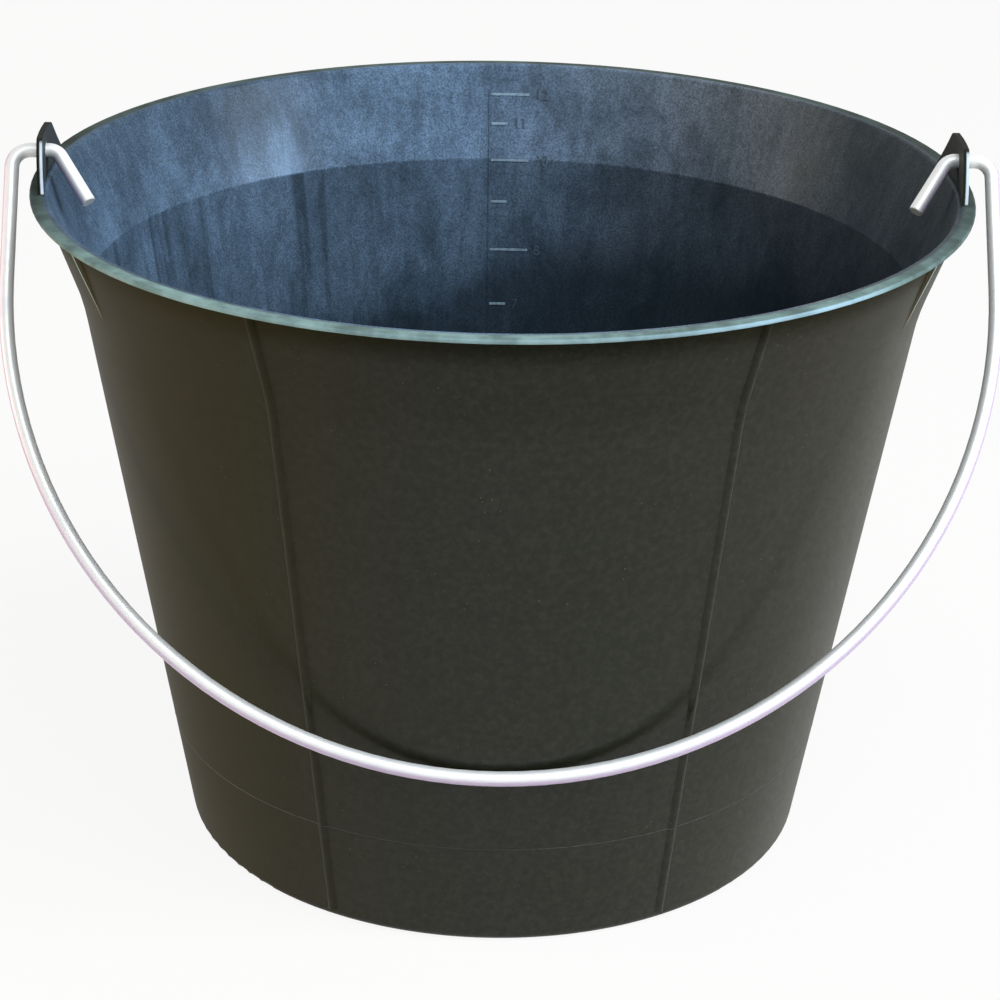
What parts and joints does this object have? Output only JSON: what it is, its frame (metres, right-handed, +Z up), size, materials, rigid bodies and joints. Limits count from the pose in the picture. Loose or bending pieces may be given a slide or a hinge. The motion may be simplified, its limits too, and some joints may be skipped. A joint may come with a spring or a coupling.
{
  "type": "bucket",
  "caption": "Tapered plastic bucket with a flared band under the rim, raised outside ribs, litre marks inside, holed ear tabs and a wire bail whose hooked ends swing in the ears.",
  "frame": {"origin": "centre of the foot ring, on the plane that the bucket stands on", "axes": "+Z up through the mouth, +X through the ears along the bail's turning axis, -Y towards the side where the bail hangs"},
  "size_m": [0.3426, 0.324, 0.2525],
  "materials": {
    "moulded_plastic": "satin black moulding with a grey bloom inside and light scuffs",
    "zinc_wire": "bright zinc-plated wire with bare cut ends"
  },
  "bodies": {
    "bucket": {"bucket_body": "moulded_plastic"},
    "bail": {"bail_handle": "zinc_wire"}
  },
  "joints": [
    {"name": "bail_swing", "type": "hinge", "parent": "bucket", "child": "bail", "pos_m": [0, 0, 0.2453], "axis": [-1, 0, 0], "range_deg": [0, 287.6]}
  ]
}
